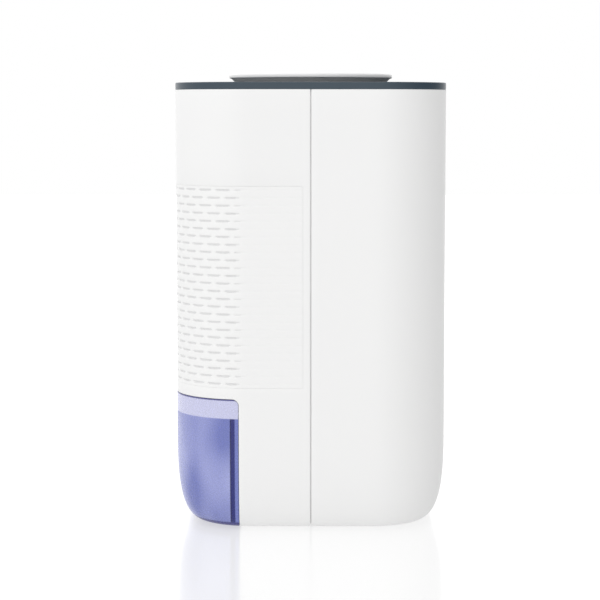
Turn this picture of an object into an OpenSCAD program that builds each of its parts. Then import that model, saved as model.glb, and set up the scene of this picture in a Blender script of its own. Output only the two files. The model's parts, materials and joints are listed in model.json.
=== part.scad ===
// Compact thermoelectric dehumidifier with a pull-out water tank.
// Millimetres. +Z is up, the front faces -Y, and z = 0 is the table under the feet.

/* [Body] */
// Width of the body
body_w = 148.5; // [130:0.5:190]
// Depth of the body, front to back
body_d = 148.5; // [130:0.5:190]
// Height of the shells' top edge above the table
shell_top = 238.8; // [200:0.1:290]
// Corner radius of the body, seen from above
corner_r = 40; // [36:0.5:46]
// How far in from the walls the rounding of the underside reaches
base_reach = 18; // [14:0.5:24]
// How high up the walls that rounding reaches
base_height = 51; // [40:0.5:54]
// Squareness of that rounding, where 2 is an ellipse
base_power = 3; // [2:0.1:3.4]
// Wall thickness of the two shells
wall = 2.5; // [2:0.1:3]
// Width of the groove between the front and the rear shell
seam_gap = 0.7; // [0.4:0.1:1.2]
// How far the rear shell's tongue reaches into the front shell
tongue_len = 2.5; // [2:0.1:4]
// Height of the feet below the shells
foot_h = 0.8; // [0.5:0.1:3]
// Radius of a foot
foot_r = 6; // [4:0.5:8]

/* [Woven panel] */
// Height of the panel's lower edge above the table
panel_z = 79; // [77:0.1:100]
// Height of the panel
panel_h = 108.5; // [60:0.1:115]
// Depth of the field that holds the woven relief
panel_recess = 0.8; // [0.2:0.1:1]
// Plain margin between the panel and the seam
panel_margin = 3.8; // [3:0.1:10]

/* [Top] */
// Height of the dark trim ring above the shells
rim_h = 3.9; // [3:0.1:6]
// Width of the trim ring's flat top
rim_w = 7; // [5:0.5:10]
// Depth of the outlet grille below the top of the trim ring
deck_drop = 1; // [0.5:0.1:2]
// Thickness of the outlet grille
deck_t = 2.5; // [2:0.1:4]
// Radius of the round cap
cap_r = 46; // [44:0.1:48]
// Radius of the cap's neck at the grille
cap_neck_r = 42; // [41:0.1:43]
// Height of the cap above the top of the trim ring
cap_rise = 5.3; // [4.5:0.1:7]
// Thickness of the cap's light top plate
cap_plate_t = 2.5; // [2:0.1:3]
// Radius of the power button
button_r = 11.6; // [8:0.1:14]
// Travel of the power button
button_travel = 0.7; // [0.3:0.1:0.7]
// Number of outlet slots in a full circle
slot_count = 60; // [40:4:72]
// Width of an outlet slot
slot_w = 2.6; // [1.5:0.1:3]

/* [Tank] */
// Height of the tank's top edge above the table
tank_top = 73; // [62:0.1:74]
// How far the tank's sides reach back from the front
tank_reach = 35.5; // [30:0.5:42]
// Radius of the tank's upper rear corner
tank_corner_r = 3.6; // [2:0.1:8]
// Height of the lip that stands above the water vessel
tank_lip = 10.7; // [8:0.1:14]
// How far the tank's side skin overhangs the step in the vessel
tank_overhang = 3.8; // [3:0.1:6]
// Wall thickness of the tank
tank_wall = 2.2; // [1.6:0.1:3]
// Gap between the tank and the shells
tank_gap = 0.3; // [0.25:0.05:0.8]
// Clearance between the inner vessel and the bay
bay_gap = 1; // [0.6:0.1:2]
// Distance from the body's middle back to the tank's rear wall
tank_rear = 25; // [15:0.5:30]
// Thickness of the tank lid
lid_t = 2; // [1.5:0.1:3]
// Radius of the drip hole in the lid
drip_hole_r = 6; // [5:0.5:8]
// Radius of the pouring plug
plug_r = 9; // [6:0.5:12]

/* [Float] */
// Radius of the float's pivot pin
pin_r = 1.5; // [1:0.1:2]
// Radial clearance of the arm on its pin
pin_clear = 0.08; // [0.05:0.01:0.1]
// Width of the float
float_w = 24; // [16:1:30]
// Angle at which the empty float hangs below level
float_droop = 20; // [12:1:24]

/* [Fan] */
// Side of the square fan frame
fan_size = 80; // [80:1:92]
// Depth of the fan frame
fan_depth = 25; // [20:1:32]
// Spacing of the fan's fixing holes
fan_pitch = 71.5; // [71.5:0.5:82.5]
// Radius of the fan's shaft
shaft_r = 1.5; // [1:0.1:2]
// Radial clearance of the shaft in its bearing
shaft_clear = 0.05; // [0.02:0.01:0.1]
// Radius of the fan's hub
hub_r = 17; // [15:0.5:20]
// Number of fan blades
blade_count = 7; // [5:1:9]

/* [Cooling core] */
// Width of the hot heat sink
hot_w = 90; // [70:1:100]
// Depth of the hot heat sink with its base
hot_d = 46; // [30:1:50]
// Thickness of the heat sinks' base plates
sink_base_t = 4; // [3:0.5:6]
// Thickness of a fin
fin_t = 1.4; // [1:0.1:2]
// Pitch of the fins
fin_pitch = 5; // [4:0.5:7]
// Width of the cold heat sink
cold_w = 62; // [60:1:80]
// Height of the cold heat sink
cold_h = 84; // [70:1:90]
// Depth of the cold heat sink with its base
cold_d = 22; // [15:1:26]
// Side of the square thermoelectric module
module_side = 40; // [40:1:44]
// Thickness of the thermoelectric module
module_t = 3.8; // [3:0.1:5]
// Side of the square foam gasket round the module
gasket_side = 60; // [58:1:60]

/* [Fixings] */
// Shank radius of the screws
screw_r = 1.5; // [1.2:0.1:1.7]
// Head radius of the screws
screw_head_r = 3; // [2.6:0.1:3.4]
// Head height of the screws
screw_head_h = 2; // [1.5:0.1:2.4]
// Clearance round a screw in a plain hole
hole_clear = 0.3; // [0.2:0.05:0.5]
// Clearance between fixed pieces that slip together
slip = 0.2; // [0.15:0.05:0.4]

/* [Hidden] */
$fn = 96;

white = "#f1f1f0";
slate = "#4c5963";
water_blue = "#8e95c9";
pcb_green = "#2f6b46";
steel = "#b4b8bb";
eps = 0.01;
far = 400;
base_steps = 12;

// Plan and heights
core_x = body_w / 2 - corner_r;
core_y = body_d / 2 - corner_r;
inner_x = body_w / 2 - wall;
floor_z = foot_h + wall;
rim_top = shell_top + rim_h;
deck_top = rim_top - deck_drop;
deck_under = deck_top - deck_t;
deck_seat_w = 5;
cap_top_z = rim_top + cap_rise;
cap_under = cap_top_z - cap_plate_t;

// Chassis: the plate over the tank bay and the wall behind it
ledge_h = 3;
ledge_clear = 0.6;
boss_wall = 2.5;
chassis_under = tank_top + ledge_h + ledge_clear;
chassis_t = 2.5;
chassis_top = chassis_under + chassis_t;
bay_wall_y = tank_rear + 2;
bay_wall_t = 2;
ledge_w = 8;
ledge_len = 14;
ledge_x = inner_x - ledge_w / 2;
ledge_hole_x = ledge_x - 1;
ledge_ys = [-(body_d / 2 - tank_reach) + ledge_len / 2 + 2, core_y - ledge_len / 2];
leg_r = screw_r + boss_wall + 1;
chassis_leg_x = min(30, core_x);
chassis_leg_y = bay_wall_y + bay_wall_t + leg_r - 1;
foot_ys = [-(body_d / 2 - tank_reach) + foot_r + 2, chassis_leg_y];
housing_screw_len = 14;
housing_head_h = 1.2;

// Fan
post_h = 8;
fan_top = deck_under - post_h;
fan_under = fan_top - fan_depth;
fan_bore_r = fan_size / 2 - 1.4;
blade_r = fan_bore_r - 1.1;
strut_h = 3;
strut_w = 4;
fan_corner_r = 5;
bearing_len = fan_depth - 11;
bearing_wall = 1.4;
bearing_z = fan_under + 1;
bearing_r = shaft_r + shaft_clear + bearing_wall;
tower_r = bearing_r + 1.5;
cup_t = 1.6;
cup_top = fan_top - 2;
cup_under = fan_under + strut_h + 2;
magnet_t = 1.5;
magnet_r = hub_r - cup_t;

// Cooling core, stacked along Y from the hot side at the front to the cold side
sink_pad_h = 13.5;
hot_z0 = chassis_top + sink_pad_h;
hot_z1 = fan_under - 6;
hot_back = tank_rear + 9;
hot_front = hot_back - hot_d;
module_z = (hot_z0 + hot_z1) / 2;
cold_front = hot_back + module_t;
clamp_offset = (module_side + gasket_side) / 4;
tray_floor = chassis_top + 1;
tray_h = 11;
tray_wall = 1.5;
spout_y = tank_rear - 14;
spout_r = 4;
lid_z = tank_top - tank_lip;
spout_end = lid_z + lid_t + 2;

// Tank
tank_edge_y = -(body_d / 2 - tank_reach);
step_y = tank_edge_y - tank_overhang;
vessel_inset = wall + bay_gap;
vessel_corner = 12;
collar_h = 3;
collar_t = 1.5;
plug_y = step_y + plug_r + 6;
float_x = -(inner_x - 30);
pivot_y = tank_rear - 12;
pivot_z = lid_z - 8.5;
ear_gap = 12;
ear_t = 2.5;
ear_r = pin_r + 2.5;
float_near = 20;
float_len = 24;
float_up = 5;
float_down = 9;
float_magnet_r = 4;
float_magnet_h = 3;

// Control electronics
board_w = 44;
board_h = 52;
board_t = 1.6;
board_z = 42;
standoff = 4;
board_y = bay_wall_y + bay_wall_t + standoff;
board_hole_x = board_w / 2 - 5;
board_hole_z = board_h / 2 - 5;
jack_x = 26;
jack_z = foot_h + base_height + 8;
jack_r = 4;
jack_bore_r = 2.8;
jack_pin_r = 1;
jack_len = 14;
jack_depth = 10;

// Cap stack
cap_bore_r = cap_neck_r - 4;
display_r = cap_bore_r - 1.7;
display_t = 1.6;
display_top = deck_top + 0.1;
switch_h = 2;
plunger_r = 1.6;
button_under = display_top + switch_h + 1.1;
button_flange = 1.3;
ring_in = button_r + 0.4;
ring_out = button_r + 3.4;
ring_foot_r = ring_out + 2;
ring_foot_t = 1;

// Distance in from the wall, and height above the underside, of the base rounding
function base_point(k, inset) =
    let(t = 90 * k / base_steps)
    [corner_r - base_reach + (base_reach - inset) * pow(cos(t), 2 / base_power),
     foot_h + base_height - (base_height - inset) * pow(sin(t), 2 / base_power)];

// Half of the upright outline, its inner edge at the corner's own centre line
function half_outline(shift, inset, top) =
    concat([[0, top], [shift + corner_r - inset, top]],
           [for (k = [0 : base_steps - 1]) base_point(k, inset) + [shift, 0]],
           [[shift + corner_r - base_reach, foot_h + inset], [0, foot_h + inset]]);

// Whole upright outline across a flat side
module full_outline(shift, inset, top) {
    half = half_outline(shift, inset, top);
    last = len(half) - 1;
    polygon(concat([for (k = [1 : last - 1]) half[k]],
                   [for (k = [last - 1 : -1 : 1]) [-half[k][0], half[k][1]]]));
}

// The body as one solid, its surface moved in by inset, up to the height top
module body_block(inset, top) {
    rotate([90, 0, 0])
        linear_extrude(2 * core_y, center = true)
            full_outline(core_x, inset, top);
    rotate([90, 0, 90])
        linear_extrude(2 * core_x, center = true)
            full_outline(core_y, inset, top);
    for (k = [0 : 3])
        translate([(k == 0 || k == 3 ? 1 : -1) * core_x, (k < 2 ? 1 : -1) * core_y, 0])
            rotate(90 * k)
                rotate_extrude(angle = 90)
                    polygon(half_outline(0, inset, top));
}

// A slab of everything between two depths, front to back
module slab_y(y0, y1, z0 = -far / 2, z1 = far) {
    translate([-far / 2, y0, z0])
        cube([far, y1 - y0, z1 - z0]);
}

// The body's plan, moved in by inset
module plan(inset) {
    r = corner_r - inset;
    square([body_w - 2 * inset, 2 * core_y], center = true);
    square([2 * core_x, body_d - 2 * inset], center = true);
    for (sx = [-1, 1], sy = [-1, 1])
        translate([sx * core_x, sy * core_y])
            circle(r);
}

module plan_ring(outer, inner, z, h) {
    translate([0, 0, z])
        linear_extrude(h)
            difference() {
                plan(outer);
                plan(inner);
            }
}

module rounded_rect(w, d, r) {
    square([w - 2 * r, d], center = true);
    square([w, d - 2 * r], center = true);
    for (sx = [-1, 1], sy = [-1, 1])
        translate([sx * (w / 2 - r), sy * (d / 2 - r)])
            circle(r);
}

module tube(r_out, r_in, h) {
    rotate_extrude()
        translate([r_in, 0])
            square([r_out - r_in, h]);
}

// A pan-head screw: shank up +Z from the origin, head below it
module screw(length) {
    translate([0, 0, -eps])
        cylinder(r = screw_r, h = length + eps);
    translate([0, 0, -screw_head_h])
        cylinder(r = screw_head_r, h = screw_head_h);
}

// Side outline of the tank's outer skin, shrunk by gap on its upper and rear edges
module tank_side(gap) {
    y1 = tank_edge_y - gap;
    z1 = tank_top - gap;
    r = tank_corner_r - gap;
    rotate([90, 0, 90])
        linear_extrude(far, center = true) {
            translate([-far / 2, -far / 4])
                square([far / 2 + y1 - r, far / 4 + z1]);
            translate([-far / 2, -far / 4])
                square([far / 2 + y1, far / 4 + z1 - r]);
            translate([y1 - r, z1 - r])
                circle(r);
        }
}

module shell_wall() {
    difference() {
        body_block(0, shell_top);
        body_block(wall, shell_top + 1);
    }
}

module ledge(sx, y) {
    translate([sx * ledge_x, y, chassis_under - ledge_h])
        difference() {
            translate([-ledge_w / 2, -ledge_len / 2, 0])
                cube([ledge_w, ledge_len, ledge_h]);
            translate([sx * (ledge_hole_x - ledge_x), 0, -1])
                cylinder(r = screw_r, h = ledge_h + 2);
        }
}

module foot_sockets(y) {
    for (sx = [-1, 1])
        translate([sx * chassis_leg_x, y, 0])
            cylinder(r = foot_r, h = foot_h + wall / 2);
}

module front_shell() {
    color(white) {
        difference() {
            intersection() {
                shell_wall();
                slab_y(-far, -seam_gap / 2);
            }
            tank_side(0);
            foot_sockets(foot_ys[0]);
            intersection() {
                body_block(wall / 2, far);
                slab_y(-seam_gap / 2 - tongue_len, 0);
            }
            difference() {
                intersection() {
                    body_block(-1, far);
                    slab_y(-far, -seam_gap / 2 - panel_margin, panel_z, panel_z + panel_h);
                }
                body_block(panel_recess, far);
            }
        }
        for (sx = [-1, 1])
            ledge(sx, ledge_ys[0]);
    }
}

module rear_shell() {
    vent_margin = 2;
    vent_h = hot_z1 - hot_z0 - 2 * vent_margin;
    vent_w = 3;
    vent_pitch = 6;
    vent_side = floor((core_x - vent_w) / vent_pitch);
    color(white) {
        difference() {
            intersection() {
                shell_wall();
                slab_y(seam_gap / 2, far);
            }
            foot_sockets(foot_ys[1]);
            for (sx = [-1, 1])
                translate([sx * chassis_leg_x, chassis_leg_y, 0])
                    cylinder(r = screw_r + hole_clear, h = floor_z + 1);
            for (k = [-vent_side : vent_side])
                translate([k * vent_pitch - vent_w / 2, body_d / 2 - 2 * wall, module_z - vent_h / 2])
                    cube([vent_w, 3 * wall, vent_h]);
            translate([jack_x, body_d / 2 - 2 * wall, jack_z])
                rotate([-90, 0, 0])
                    cylinder(r = jack_r + slip / 2, h = 3 * wall);
        }
        // Tongue that closes the groove from inside
        intersection() {
            difference() {
                body_block(wall / 2 + slip / 2, shell_top);
                body_block(wall, far);
            }
            slab_y(-seam_gap / 2 - tongue_len, seam_gap / 2 + eps);
        }
        for (sx = [-1, 1])
            ledge(sx, ledge_ys[1]);
    }
}

module trim_ring() {
    skirt_h = 4;
    seat_h = 2;
    color(slate) {
        plan_ring(0, rim_w, shell_top, rim_h);
        plan_ring(wall + slip, rim_w, shell_top - skirt_h, skirt_h + eps);
        plan_ring(rim_w - eps, rim_w + deck_seat_w, deck_under - seat_h, seat_h);
    }
}

module outlet_grille() {
    slot_in = cap_r + 1;
    slot_out = min(body_w, body_d) / 2 - rim_w - deck_seat_w;
    boss_arc = 6.5;
    color(slate) {
        translate([0, 0, deck_under])
            linear_extrude(deck_t)
                difference() {
                    plan(rim_w + slip);
                    circle(cap_bore_r);
                    for (k = [0 : slot_count - 1])
                        if (abs((k * 360 / slot_count) % 90 - 45) > boss_arc)
                            rotate(k * 360 / slot_count)
                                translate([(slot_in + slot_out) / 2, 0])
                                    square([slot_out - slot_in, slot_w], center = true);
                }
        for (sx = [-1, 1], sy = [-1, 1])
            translate([sx * fan_pitch / 2, sy * fan_pitch / 2, fan_top])
                tube(screw_r + boss_wall, screw_r, post_h + eps);
    }
}

module cap_skirt() {
    skirt_t = 2.5;
    flare_z = cap_under - (cap_r - cap_neck_r) + 1;
    foot_z = deck_under - 0.5;
    shelf_w = 2;
    color("#b5b5b5")
        rotate_extrude()
            polygon([
                [cap_neck_r, deck_top],
                [cap_neck_r, flare_z],
                [cap_r - 1, cap_under],
                [cap_r - 4, cap_under],
                [cap_neck_r - skirt_t, flare_z],
                [cap_neck_r - skirt_t, deck_top],
                [display_r + slip, deck_top],
                [display_r + slip, display_top - display_t],
                [display_r - shelf_w, display_top - display_t],
                [display_r - shelf_w, foot_z],
                [cap_bore_r - slip, foot_z],
                [cap_bore_r - slip, deck_top]
            ]);
}

module cap_top() {
    edge_r = 0.48 * cap_plate_t;
    color(white)
        rotate_extrude() {
            translate([ring_out + slip, cap_under])
                square([cap_r - edge_r - ring_out - slip, cap_plate_t]);
            translate([ring_out + slip, cap_under])
                square([cap_r - ring_out - slip, cap_plate_t - edge_r]);
            translate([cap_r - edge_r, cap_top_z - edge_r])
                circle(edge_r);
        }
}

module light_ring() {
    color("#e9eef2")
        rotate_extrude()
            polygon([
                [ring_in, cap_top_z],
                [ring_out, cap_top_z],
                [ring_out, cap_under],
                [ring_foot_r, cap_under],
                [ring_foot_r, cap_under - ring_foot_t],
                [ring_in + button_flange, cap_under - ring_foot_t],
                [ring_in + button_flange, button_under + 1],
                [ring_in, button_under + 1]
            ]);
}

module power_button() {
    color("#e4e5e5")
        rotate_extrude()
            polygon([
                [0, button_under],
                [button_r + button_flange, button_under],
                [button_r + button_flange, button_under + 0.8],
                [button_r, button_under + 0.8],
                [button_r, cap_top_z - 0.5],
                [button_r - 0.5, cap_top_z],
                [button_r - 3, cap_top_z],
                [0, cap_top_z - 0.6]
            ]);
}

module display_board() {
    color(pcb_green)
        translate([0, 0, display_top - display_t])
            cylinder(r = display_r, h = display_t);
}

module tact_switch() {
    side = 6;
    color("#3a3d40")
        translate([0, 0, display_top])
            difference() {
                translate([-side / 2, -side / 2, 0])
                    cube([side, side, switch_h]);
                translate([0, 0, -1])
                    cylinder(r = plunger_r + 0.15, h = switch_h + 2);
            }
}

module switch_plunger() {
    reach = button_travel + 0.1;
    color("#6a6e72")
        translate([0, 0, display_top + reach])
            cylinder(r = plunger_r, h = button_under - display_top - reach);
}

module fan_frame() {
    color("#2b2d2f") {
        translate([0, 0, fan_under])
            linear_extrude(fan_depth)
                difference() {
                    rounded_rect(fan_size, fan_size, fan_corner_r);
                    circle(fan_bore_r);
                    for (sx = [-1, 1], sy = [-1, 1])
                        translate([sx * fan_pitch / 2, sy * fan_pitch / 2])
                            circle(screw_r + hole_clear);
                }
        difference() {
            translate([0, 0, fan_under])
                linear_extrude(strut_h)
                    intersection() {
                        union() {
                            circle(hub_r);
                            for (a = [45, 135])
                                rotate(a)
                                    square([fan_size, strut_w], center = true);
                        }
                        circle(fan_bore_r + 0.5);
                    }
            translate([0, 0, bearing_z])
                cylinder(r = bearing_r, h = far);
        }
        translate([0, 0, fan_under + 1])
            tube(tower_r, bearing_r, bearing_len);
    }
}

module fan_rotor() {
    blade_w = blade_r - hub_r;
    blade_h = fan_depth - strut_h - 7;
    mid = (cup_under + cup_top) / 2;
    color("#37393c") {
        translate([0, 0, cup_under])
            tube(hub_r, hub_r - cup_t, cup_top - cup_under);
        translate([0, 0, cup_top - cup_t])
            tube(hub_r - cup_t + eps, shaft_r, cup_t);
        intersection() {
            translate([0, 0, cup_under])
                tube(blade_r, hub_r - cup_t / 2, cup_top - cup_under);
            for (k = [0 : blade_count - 1])
                rotate(k * 360 / blade_count)
                    translate([hub_r - cup_t / 2, 0, mid])
                        rotate([50, 0, 0])
                            translate([0, -blade_h / 1.6, -0.8])
                                cube([blade_w + 4, blade_h * 1.25, 1.6]);
        }
    }
}

module rotor_magnet() {
    color("#4a4544")
        translate([0, 0, cup_under + 1])
            tube(magnet_r, magnet_r - magnet_t, cup_top - cup_t - cup_under - 2);
}

module fan_shaft() {
    color(steel)
        translate([0, 0, bearing_z + 0.6])
            cylinder(r = shaft_r, h = cup_top - bearing_z - 0.6);
}

module fan_bearing() {
    color("#b08d57")
        translate([0, 0, bearing_z])
            tube(bearing_r, shaft_r + shaft_clear, bearing_len);
}

module fan_stator() {
    arms = 4;
    stack_h = bearing_len - 5;
    tip_r = magnet_r - magnet_t - 0.6;
    color("#a8632f")
        translate([0, 0, fan_under + strut_h + 1])
            linear_extrude(stack_h)
                difference() {
                    union() {
                        circle(tower_r + 2);
                        for (k = [0 : arms - 1])
                            rotate(k * 360 / arms)
                                translate([0, -1.6])
                                    square([tip_r - 1, 3.2]);
                        for (k = [0 : arms - 1])
                            rotate(k * 360 / arms)
                                intersection() {
                                    difference() {
                                        circle(tip_r);
                                        circle(tip_r - 2);
                                    }
                                    translate([0, -tip_r / 2])
                                        square([tip_r, tip_r]);
                                }
                    }
                    circle(tower_r);
                }
}

module fan_screws() {
    color(steel)
        for (sx = [-1, 1], sy = [-1, 1])
            translate([sx * fan_pitch / 2, sy * fan_pitch / 2, fan_under])
                screw(fan_depth + post_h - 1);
}

// Comb outline of a finned heat sink: base along X, fins towards +Y
module comb(w, d) {
    fins = floor((w - fin_t) / fin_pitch);
    first = -fins * fin_pitch / 2;
    translate([-w / 2, 0])
        square([w, sink_base_t]);
    for (k = [0 : fins])
        translate([first + k * fin_pitch - fin_t / 2, sink_base_t - eps])
            square([fin_t, d - sink_base_t + eps]);
}

module at_clamps(y) {
    for (sx = [-1, 1], sz = [-1, 1])
        translate([sx * clamp_offset, y, module_z + sz * clamp_offset])
            rotate([-90, 0, 0])
                children();
}

module hot_sink() {
    color("#c3c6c8")
        difference() {
            translate([0, hot_back, hot_z0])
                linear_extrude(hot_z1 - hot_z0)
                    mirror([0, 1])
                        comb(hot_w, hot_d);
            at_clamps(hot_back - sink_base_t - 1)
                cylinder(r = screw_r, h = sink_base_t + 2);
        }
}

module thermoelectric_module() {
    color("#eceae4")
        translate([-module_side / 2, hot_back, module_z - module_side / 2])
            cube([module_side, module_t, module_side]);
}

module insulation_gasket() {
    window = module_side + 2 * slip;
    color("#2c2c2c")
        difference() {
            translate([-gasket_side / 2, hot_back, module_z - gasket_side / 2])
                cube([gasket_side, module_t, gasket_side]);
            translate([-window / 2, hot_back - 1, module_z - window / 2])
                cube([window, module_t + 2, window]);
            at_clamps(hot_back - 1)
                cylinder(r = screw_r + hole_clear, h = module_t + 2);
        }
}

module cold_sink() {
    color("#d2d5d7")
        difference() {
            translate([0, cold_front, module_z - cold_h / 2])
                linear_extrude(cold_h)
                    comb(cold_w, cold_d);
            at_clamps(cold_front - 1)
                cylinder(r = screw_r + hole_clear, h = sink_base_t + 2);
            at_clamps(cold_front + sink_base_t)
                cylinder(r = screw_head_r + hole_clear, h = cold_d);
        }
}

module clamp_screws() {
    length = sink_base_t + module_t + sink_base_t - 0.5;
    color(steel)
        at_clamps(cold_front + sink_base_t)
            mirror([0, 0, 1])
                screw(length);
}

module drip_tray() {
    tray_y0 = cold_front - 2;
    tray_y1 = cold_front + cold_d + 1;
    tray_w = cold_w + 8;
    chute_w = 2 * spout_r + 8;
    color("#dfe2e4")
        difference() {
            union() {
                translate([-tray_w / 2, tray_y0, tray_floor])
                    cube([tray_w, tray_y1 - tray_y0, tray_h]);
                translate([-chute_w / 2, spout_y - chute_w / 2, tray_floor])
                    cube([chute_w, tray_y0 - spout_y + chute_w / 2 + eps, tray_h - 2]);
                translate([0, spout_y, spout_end])
                    cylinder(r = spout_r, h = tray_floor - spout_end + eps);
            }
            translate([-tray_w / 2 + tray_wall, tray_y0 + tray_wall, tray_floor + tray_wall])
                cube([tray_w - 2 * tray_wall, tray_y1 - tray_y0 - 2 * tray_wall, tray_h]);
            translate([-chute_w / 2 + tray_wall, spout_y - chute_w / 2 + tray_wall, tray_floor + tray_wall])
                cube([chute_w - 2 * tray_wall, tray_y1 - spout_y, tray_h]);
            translate([0, spout_y, spout_end - 1])
                cylinder(r = spout_r - 1.2, h = tray_h + tray_floor - spout_end);
        }
}

module chassis() {
    pad_w = 6;
    pad_d = 20;
    pad_x = hot_w / 2 - pad_w / 2;
    runner_w = 4;
    runner_x = cold_w / 2 - 6;
    runner_inset = 3;
    wall_half = inner_x - base_reach;
    wall_low = floor_z + 10;
    color("#d9dadb") {
        translate([0, 0, chassis_under])
            linear_extrude(chassis_t)
                difference() {
                    plan(wall + slip);
                    translate([0, spout_y])
                        circle(spout_r + hole_clear + slip);
                    for (sx = [-1, 1], y = ledge_ys)
                        translate([sx * ledge_hole_x, y])
                            circle(screw_r + hole_clear);
                }
        // Pads under the hot heat sink
        for (sx = [-1, 1])
            translate([sx * pad_x - pad_w / 2, hot_back - pad_d, chassis_top - eps])
                cube([pad_w, pad_d, sink_pad_h + eps]);
        // Two runners under the drip tray
        for (sx = [-1, 1])
            translate([sx * runner_x - runner_w / 2, cold_front + runner_inset, chassis_top - eps])
                cube([runner_w, cold_d - 2 * runner_inset, tray_floor - chassis_top + eps]);
        // Rear wall of the tank bay
        translate([-wall_half, bay_wall_y, wall_low])
            cube([2 * wall_half, bay_wall_t, chassis_under - wall_low + eps]);
        // Legs that stand on the floor of the rear shell
        for (sx = [-1, 1])
            translate([sx * chassis_leg_x, chassis_leg_y, floor_z])
                tube(leg_r, screw_r, chassis_under - floor_z + eps);
        // Standoffs for the control board
        for (sx = [-1, 1], sz = [-1, 1])
            translate([sx * board_hole_x, bay_wall_y + bay_wall_t - eps, board_z + sz * board_hole_z])
                rotate([-90, 0, 0])
                    tube(screw_r + 1.5, screw_r, standoff + eps);
    }
}

module chassis_screws() {
    color(steel)
        for (sx = [-1, 1], y = ledge_ys)
            translate([sx * ledge_hole_x, y, chassis_top])
                mirror([0, 0, 1])
                    screw(chassis_t + ledge_h);
}

module control_board() {
    color(pcb_green)
        translate([0, board_y, board_z])
            rotate([-90, 0, 0])
                linear_extrude(board_t)
                    difference() {
                        square([board_w, board_h], center = true);
                        for (sx = [-1, 1], sz = [-1, 1])
                            translate([sx * board_hole_x, sz * board_hole_z])
                                circle(screw_r + hole_clear);
                    }
}

module board_components() {
    top = board_y + board_t;
    // Each block: its place on the board and its size, both as [across, up], then its height
    blocks = [[[-8, -4], [12, 12], 2.5], [[-20, -6], [9, 10], 6], [[6, -12], [14, 7], 7]];
    can_r = 2.8;
    can_h = 8;
    can_pitch = 7;
    color("#26292b") {
        for (b = blocks)
            translate([b[0][0], top, board_z + b[0][1]])
                cube([b[1][0], b[2], b[1][1]]);
        for (k = [0 : 2])
            translate([1 + can_pitch * k, top, board_z + 14])
                rotate([-90, 0, 0])
                    cylinder(r = can_r, h = can_h);
    }
}

module board_screws() {
    color(steel)
        for (sx = [-1, 1], sz = [-1, 1])
            translate([sx * board_hole_x, board_y + board_t, board_z + sz * board_hole_z])
                rotate([90, 0, 0])
                    screw(board_t + standoff - 0.5);
}

module dc_jack() {
    sunk = 0.2;
    flange_w = 2.5;
    flange_t = 2;
    color("#202224")
        translate([jack_x, body_d / 2 - sunk, jack_z])
            rotate([90, 0, 0]) {
                difference() {
                    union() {
                        cylinder(r = jack_r, h = jack_len);
                        translate([0, 0, wall - sunk])
                            cylinder(r = jack_r + flange_w, h = flange_t);
                    }
                    translate([0, 0, -1])
                        cylinder(r = jack_bore_r, h = jack_depth + 1);
                }
                translate([0, 0, 1])
                    cylinder(r = jack_pin_r, h = jack_len - 2);
            }
}

module level_sensor() {
    sensor_y = pivot_y - float_near - float_len / 2;
    size = [14, 8, 4];
    color("#23505f")
        translate([float_x - size[0] / 2, sensor_y - size[1] / 2, chassis_top])
            cube(size);
}

module rubber_feet() {
    color("#3b3d40")
        difference() {
            for (sx = [-1, 1], y = foot_ys)
                translate([sx * chassis_leg_x, y, 0])
                    cylinder(r = foot_r - slip / 2, h = foot_h + wall / 2);
            for (sx = [-1, 1])
                translate([sx * chassis_leg_x, foot_ys[1], foot_h - 0.2])
                    cylinder(r = screw_head_r + hole_clear, h = wall);
        }
}

module housing_screws() {
    head = foot_h + wall / 2;
    color(steel)
        for (sx = [-1, 1])
            translate([sx * chassis_leg_x, chassis_leg_y, head]) {
                translate([0, 0, -eps])
                    cylinder(r = screw_r, h = housing_screw_len + eps);
                translate([0, 0, -housing_head_h])
                    cylinder(r = screw_head_r, h = housing_head_h);
            }
}

// Plan limit of the inner vessel: everything in front of its rounded rear wall
module vessel_reach(inset) {
    w = body_w - 2 * vessel_inset - 2 * inset;
    rear = tank_rear - inset;
    translate([0, 0, -far / 4])
        linear_extrude(far)
            translate([0, rear - far / 2])
                rounded_rect(w, far, vessel_corner - inset);
}

// The vessel's outside (inset 0) or its hollow (inset tank_wall), up to the height top
module vessel_form(inset, top) {
    intersection() {
        body_block(inset, top);
        slab_y(-far, step_y - inset);
    }
    intersection() {
        body_block(vessel_inset + inset, top);
        slab_y(step_y - inset - eps, far);
        vessel_reach(inset);
    }
}

module tank_vessel() {
    color(water_blue, 0.75) {
        difference() {
            vessel_form(0, lid_z);
            vessel_form(tank_wall, far / 2);
        }
        intersection() {
            difference() {
                body_block(0, far / 2);
                body_block(tank_wall, far);
            }
            tank_side(tank_gap);
        }
    }
}

module lid_plan(inset) {
    intersection() {
        plan(inset);
        translate([-far / 2, -far])
            square([far, far + step_y - tank_wall - slip]);
    }
    inward = inset - tank_wall;
    intersection() {
        plan(vessel_inset + inward);
        translate([0, tank_rear - inward - far / 2])
            rounded_rect(body_w - 2 * (vessel_inset + inward), far, vessel_corner - inward);
        translate([-far / 2, step_y - tank_wall - slip - eps])
            square([far, far]);
    }
}

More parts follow.
